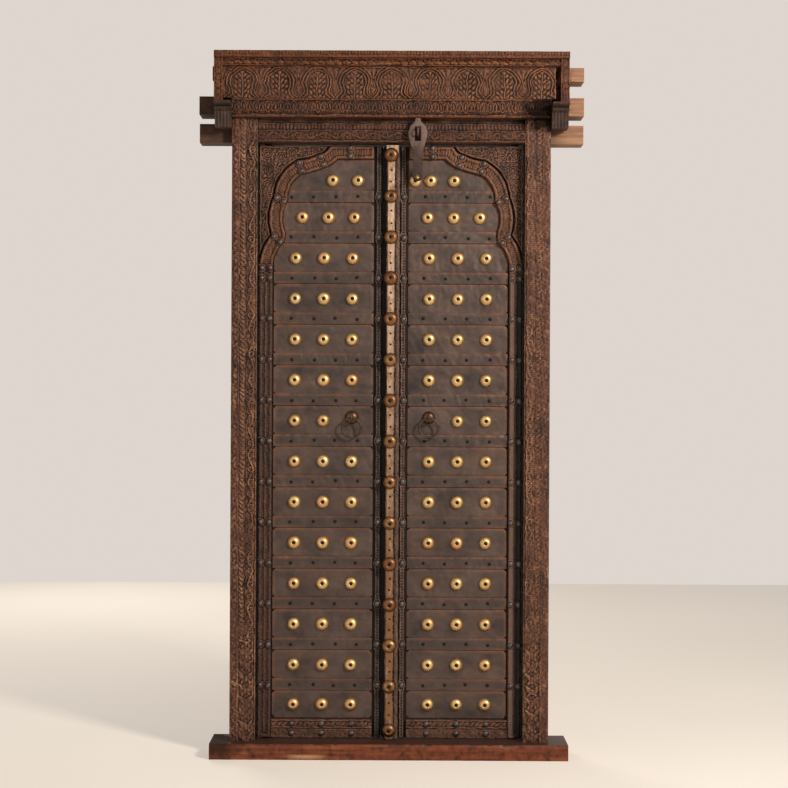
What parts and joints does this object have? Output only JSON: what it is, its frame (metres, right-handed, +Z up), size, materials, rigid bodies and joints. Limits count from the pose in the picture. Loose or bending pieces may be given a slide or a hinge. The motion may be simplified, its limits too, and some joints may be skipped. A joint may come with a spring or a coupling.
{
  "type": "carved wooden double door with frame",
  "caption": "Tall carved timber double door in its own frame: cusped-arch leaves clad in iron plates and brass studs, swinging inwards on wooden pivots, with ring pulls and a hasp.",
  "frame": {"origin": "middle of the sill's underside, in the plane of the leaves' pivot axes", "axes": "+X to the viewer's right, +Y into the room behind the door (the leaves open that way), +Z up"},
  "size_m": [1.148, 0.172, 2.092],
  "materials": {
    "carved_timber": "carved, dark with age, worn lighter on the edges",
    "raw_timber": "sawn, unpolished, dusty",
    "sill_timber": "worn reddish brown, chipped on the front edge",
    "sheet_iron": "thin hammered sheet, brown patina with rust at the edges",
    "forged_iron": "forged, dark and rubbed",
    "brass": "hammered, rubbed bright, dark in the hollows"
  },
  "bodies": {
    "frame": {"sill": "sill_timber", "left_jamb": "carved_timber", "right_jamb": "carved_timber", "architrave": "carved_timber", "frieze_board": "carved_timber", "cornice_petal_board": "carved_timber", "cornice_bead": "carved_timber", "cornice_crown": "carved_timber", "left_cornice_border": "carved_timber", "right_cornice_border": "carved_timber", "left_bracket": "carved_timber", "right_bracket": "carved_timber", "lintel": "raw_timber", "frieze_beam": "raw_timber", "cornice_beam": "raw_timber", "hasp_staple": "forged_iron"},
    "hasp": {"hasp": "forged_iron"},
    "left_leaf": {"left_pivot_stile": "raw_timber", "left_meeting_stile": "raw_timber", "left_boards": "raw_timber", "left_ledges": "raw_timber", "left_arch_band": "carved_timber", "left_spandrel": "carved_timber", "left_foot_rails": "carved_timber", "left_meeting_strip": "carved_timber", "left_iron_plates": "sheet_iron", "left_iron_straps": "sheet_iron", "left_lower_pintle": "forged_iron", "left_upper_pintle": "forged_iron", "left_iron_studs": "forged_iron", "left_ring_eye": "forged_iron", "left_brass_studs": "brass", "left_ring_boss": "brass"},
    "left_ring": {"left_ring": "forged_iron"},
    "right_leaf": {"right_pivot_stile": "raw_timber", "right_meeting_stile": "raw_timber", "right_boards": "raw_timber", "right_ledges": "raw_timber", "right_arch_band": "carved_timber", "right_spandrel": "carved_timber", "right_foot_rails": "carved_timber", "right_meeting_strip": "carved_timber", "right_iron_plates": "sheet_iron", "right_iron_straps": "sheet_iron", "right_lower_pintle": "forged_iron", "right_upper_pintle": "forged_iron", "right_iron_studs": "forged_iron", "right_ring_eye": "forged_iron", "right_brass_studs": "brass", "right_ring_boss": "brass", "astragal": "carved_timber", "astragal_brass_strip": "brass", "astragal_bosses": "brass"},
    "right_ring": {"right_ring": "forged_iron"}
  },
  "joints": [
    {"name": "left_leaf_swing", "type": "hinge", "parent": "frame", "child": "left_leaf", "pos_m": [-0.37, 0, 0.9], "axis": [0, 0, 1], "range_deg": [0, 95]},
    {"name": "right_leaf_swing", "type": "hinge", "parent": "frame", "child": "right_leaf", "pos_m": [0.37, 0, 0.9], "axis": [0, 0, -1], "range_deg": [0, 95]},
    {"name": "left_ring_swing", "type": "hinge", "parent": "left_leaf", "child": "left_ring", "pos_m": [-0.11539, -0.0395, 1.0077], "axis": [-1, 0, 0], "range_deg": [0, 150]},
    {"name": "right_ring_swing", "type": "hinge", "parent": "right_leaf", "child": "right_ring", "pos_m": [0.11539, -0.0395, 1.0077], "axis": [-1, 0, 0], "range_deg": [0, 150]},
    {"name": "hasp_swing", "type": "hinge", "parent": "frame", "child": "hasp", "pos_m": [0.078, -0.0825, 1.8672], "axis": [-1, 0, 0], "range_deg": [0, 36]}
  ]
}
